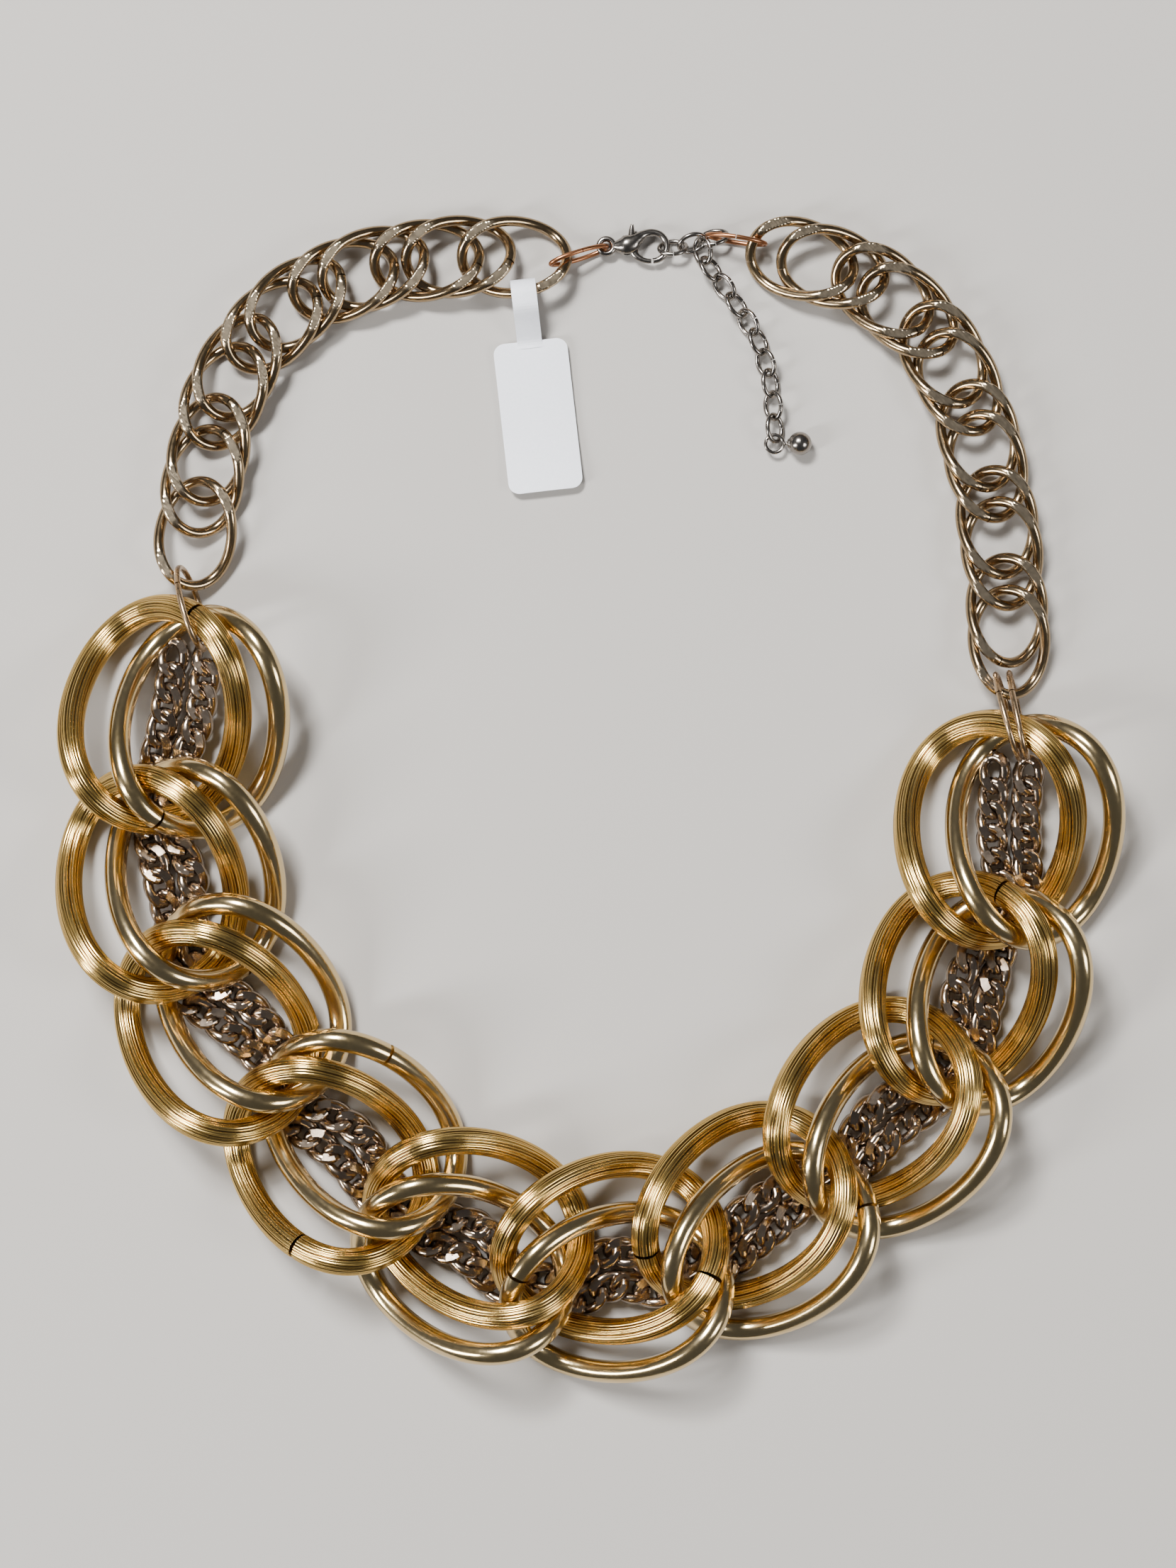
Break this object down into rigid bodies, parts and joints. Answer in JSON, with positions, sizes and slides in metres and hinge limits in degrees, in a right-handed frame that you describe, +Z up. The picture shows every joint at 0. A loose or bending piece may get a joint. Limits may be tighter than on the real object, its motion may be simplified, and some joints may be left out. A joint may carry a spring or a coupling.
{
  "type": "chain necklace",
  "caption": "Chunky statement necklace of paired ribbed and plain curb rings with threaded strands, a lighter doubled back chain, lobster clasp, cable extender and blank paper tag.",
  "frame": {"origin": "on the table, under the middle of the necklace as it lies closed", "axes": "+Z up from the table, +Y from the big front links towards the clasp, +X to the right seen from above"},
  "size_m": [0.1794, 0.1968, 0.0161],
  "materials": {
    "ribbed_gold": "warm yellow gold plate, fine lengthwise ribs",
    "satin_gold": "pale champagne gold plate, satin polished",
    "strand_bronze": "brownish bronze plate with polished flats",
    "back_bronze": "champagne bronze plate, diamond-cut flats",
    "copper": "dull reddish copper",
    "pewter": "dark silver plate",
    "tag_paper": "white coated paper"
  },
  "bodies": {
    "link_01": {"link_01_ribbed_ring": "ribbed_gold", "link_01_smooth_ring": "satin_gold", "link_01_strands": "strand_bronze"},
    "link_02": {"link_02_ribbed_ring": "ribbed_gold", "link_02_smooth_ring": "satin_gold", "link_02_strands": "strand_bronze"},
    "link_03": {"link_03_ribbed_ring": "ribbed_gold", "link_03_smooth_ring": "satin_gold", "link_03_strands": "strand_bronze"},
    "link_04": {"link_04_ribbed_ring": "ribbed_gold", "link_04_smooth_ring": "satin_gold", "link_04_strands": "strand_bronze"},
    "link_05": {"link_05_ribbed_ring": "ribbed_gold", "link_05_smooth_ring": "satin_gold", "link_05_strands": "strand_bronze"},
    "link_06": {"link_06_ribbed_ring": "ribbed_gold", "link_06_smooth_ring": "satin_gold", "link_06_strands": "strand_bronze"},
    "link_07": {"link_07_ribbed_ring": "ribbed_gold", "link_07_smooth_ring": "satin_gold", "link_07_strands": "strand_bronze"},
    "link_08": {"link_08_ribbed_ring": "ribbed_gold", "link_08_smooth_ring": "satin_gold", "link_08_strands": "strand_bronze"},
    "link_09": {"link_09_ribbed_ring": "ribbed_gold", "link_09_smooth_ring": "satin_gold", "link_09_strands": "strand_bronze"},
    "link_10": {"link_10_ribbed_ring": "ribbed_gold", "link_10_smooth_ring": "satin_gold", "link_10_strands": "strand_bronze"},
    "left_jump": {"left_jump_ring": "back_bronze"},
    "right_jump": {"right_jump_ring_a": "back_bronze", "right_jump_ring_b": "back_bronze"},
    "left_01": {"left_chain_01": "back_bronze"},
    "left_02": {"left_chain_02": "back_bronze"},
    "left_03": {"left_chain_03": "back_bronze"},
    "left_04": {"left_chain_04": "back_bronze"},
    "left_05": {"left_chain_05": "back_bronze"},
    "left_06": {"left_chain_06": "back_bronze"},
    "left_07": {"left_chain_07": "back_bronze"},
    "right_01": {"right_chain_01": "back_bronze"},
    "right_02": {"right_chain_02": "back_bronze"},
    "right_03": {"right_chain_03": "back_bronze"},
    "right_04": {"right_chain_04": "back_bronze"},
    "right_05": {"right_chain_05": "back_bronze"},
    "right_06": {"right_chain_06": "back_bronze"},
    "clasp_ring": {"clasp_ring": "copper"},
    "clasp": {"clasp_body": "pewter", "clasp_rivet": "pewter"},
    "lever": {"clasp_lever": "pewter"},
    "tag": {"price_tag": "tag_paper"},
    "extender_ring": {"extender_ring": "copper"},
    "extender_upper": {"extender_upper": "pewter"},
    "tail_a": {"extender_tail_a": "pewter"},
    "tail_b": {"extender_tail_b": "pewter"},
    "tail_c": {"extender_tail_c": "pewter"},
    "ball": {"extender_ball": "pewter"}
  },
  "joints": [
    {"name": "link_04_turn", "type": "hinge", "parent": "link_05", "child": "link_04", "pos_m": [-0.03039, -0.06695, 0.0082], "axis": [0, 0, 1], "range_deg": [0, 8]},
    {"name": "link_03_turn", "type": "hinge", "parent": "link_04", "child": "link_03", "pos_m": [-0.05039, -0.0477, 0.0082], "axis": [0, 0, 1], "range_deg": [0, 8]},
    {"name": "link_02_turn", "type": "hinge", "parent": "link_03", "child": "link_02", "pos_m": [-0.06489, -0.0252, 0.0082], "axis": [0, 0, 1], "range_deg": [0, 8]},
    {"name": "link_01_turn", "type": "hinge", "parent": "link_02", "child": "link_01", "pos_m": [-0.06939, -0.0002, 0.0082], "axis": [0, 0, 1], "range_deg": [0, 8]},
    {"name": "link_06_turn", "type": "hinge", "parent": "link_05", "child": "link_06", "pos_m": [-0.00789, -0.07745, 0.0082], "axis": [0, 0, -1], "range_deg": [0, 8]},
    {"name": "link_07_turn", "type": "hinge", "parent": "link_06", "child": "link_07", "pos_m": [0.01611, -0.07595, 0.0082], "axis": [0, 0, -1], "range_deg": [0, 8]},
    {"name": "link_08_turn", "type": "hinge", "parent": "link_07", "child": "link_08", "pos_m": [0.03911, -0.06345, 0.0082], "axis": [0, 0, -1], "range_deg": [0, 8]},
    {"name": "link_09_turn", "type": "hinge", "parent": "link_08", "child": "link_09", "pos_m": [0.05761, -0.04395, 0.0082], "axis": [0, 0, -1], "range_deg": [0, 8]},
    {"name": "link_10_turn", "type": "hinge", "parent": "link_09", "child": "link_10", "pos_m": [0.06811, -0.01945, 0.0082], "axis": [0, 0, -1], "range_deg": [0, 8]},
    {"name": "left_jump_turn", "type": "hinge", "parent": "link_01", "child": "left_jump", "pos_m": [-0.06752, 0.02472, 0.0035], "axis": [0, 0, 1], "range_deg": [0, 8]},
    {"name": "left_01_turn", "type": "hinge", "parent": "left_jump", "child": "left_01", "pos_m": [-0.06655, 0.03751, 0.0035], "axis": [0, 0, 1], "range_deg": [0, 8]},
    {"name": "left_02_turn", "type": "hinge", "parent": "left_01", "child": "left_02", "pos_m": [-0.06554, 0.05035, 0.0035], "axis": [0, 0, 1], "range_deg": [0, 10]},
    {"name": "left_03_turn", "type": "hinge", "parent": "left_02", "child": "left_03", "pos_m": [-0.06254, 0.0632, 0.0035], "axis": [0, 0, 1], "range_deg": [0, 10]},
    {"name": "left_04_turn", "type": "hinge", "parent": "left_03", "child": "left_04", "pos_m": [-0.05589, 0.07605, 0.0035], "axis": [0, 0, 1], "range_deg": [0, 10]},
    {"name": "left_05_turn", "type": "hinge", "parent": "left_04", "child": "left_05", "pos_m": [-0.04514, 0.08515, 0.0035], "axis": [0, 0, 1], "range_deg": [0, 10]},
    {"name": "left_06_turn", "type": "hinge", "parent": "left_05", "child": "left_06", "pos_m": [-0.03179, 0.0898, 0.0035], "axis": [0, 0, 1], "range_deg": [0, 10]},
    {"name": "left_07_turn", "type": "hinge", "parent": "left_06", "child": "left_07", "pos_m": [-0.01854, 0.0912, 0.0035], "axis": [0, 0, 1], "range_deg": [0, 10]},
    {"name": "clasp_ring_turn", "type": "hinge", "parent": "left_07", "child": "clasp_ring", "pos_m": [-0.00431, 0.0916, 0.0035], "axis": [0, 0, 1], "range_deg": [0, 10]},
    {"name": "clasp_turn", "type": "hinge", "parent": "clasp_ring", "child": "clasp", "pos_m": [0.00301, 0.0934, 0.0035], "axis": [0, 0, 1], "range_deg": [0, 10]},
    {"name": "lever_pivot", "type": "hinge", "parent": "clasp", "child": "lever", "pos_m": [0.00761, 0.0936, 0.0035], "axis": [0, 0, 1], "range_deg": [0, 12], "stiffness_Nm_per_rad": 0.001},
    {"name": "tag_swing", "type": "hinge", "parent": "left_07", "child": "tag", "pos_m": [-0.01099, 0.0852, 0.0035], "axis": [0, 0, 1], "range_deg": [-10, 10]},
    {"name": "right_jump_turn", "type": "hinge", "parent": "link_10", "child": "right_jump", "pos_m": [0.07068, 0.00621, 0.0035], "axis": [0, 0, -1], "range_deg": [0, 8]},
    {"name": "right_01_turn", "type": "hinge", "parent": "right_jump", "child": "right_01", "pos_m": [0.07064, 0.02044, 0.0035], "axis": [0, 0, -1], "range_deg": [0, 8]},
    {"name": "right_02_turn", "type": "hinge", "parent": "right_01", "child": "right_02", "pos_m": [0.07021, 0.03635, 0.0035], "axis": [0, 0, -1], "range_deg": [0, 10]},
    {"name": "right_03_turn", "type": "hinge", "parent": "right_02", "child": "right_03", "pos_m": [0.06806, 0.05115, 0.0035], "axis": [0, 0, -1], "range_deg": [0, 10]},
    {"name": "right_04_turn", "type": "hinge", "parent": "right_03", "child": "right_04", "pos_m": [0.06396, 0.06545, 0.0035], "axis": [0, 0, -1], "range_deg": [0, 10]},
    {"name": "right_05_turn", "type": "hinge", "parent": "right_04", "child": "right_05", "pos_m": [0.05661, 0.07805, 0.0035], "axis": [0, 0, -1], "range_deg": [0, 10]},
    {"name": "right_06_turn", "type": "hinge", "parent": "right_05", "child": "right_06", "pos_m": [0.04531, 0.08695, 0.0035], "axis": [0, 0, -1], "range_deg": [0, 10]},
    {"name": "extender_ring_turn", "type": "hinge", "parent": "right_06", "child": "extender_ring", "pos_m": [0.02909, 0.09307, 0.0035], "axis": [0, 0, -1], "range_deg": [0, 10]},
    {"name": "extender_turn", "type": "hinge", "parent": "extender_ring", "child": "extender_upper", "pos_m": [0.02101, 0.0949, 0.0035], "axis": [0, 0, -1], "range_deg": [0, 10]},
    {"name": "tail_a_turn", "type": "hinge", "parent": "extender_upper", "child": "tail_a", "pos_m": [0.0195, 0.09071, 0.0035], "axis": [0, 0, 1], "range_deg": [-12, 12]},
    {"name": "tail_b_turn", "type": "hinge", "parent": "tail_a", "child": "tail_b", "pos_m": [0.02585, 0.08172, 0.0035], "axis": [0, 0, 1], "range_deg": [-12, 12]},
    {"name": "tail_c_turn", "type": "hinge", "parent": "tail_b", "child": "tail_c", "pos_m": [0.0301, 0.07162, 0.0035], "axis": [0, 0, 1], "range_deg": [-12, 12]},
    {"name": "ball_turn", "type": "hinge", "parent": "tail_c", "child": "ball", "pos_m": [0.03147, 0.06001, 0.0035], "axis": [0, 0, 1], "range_deg": [-12, 12]}
  ]
}
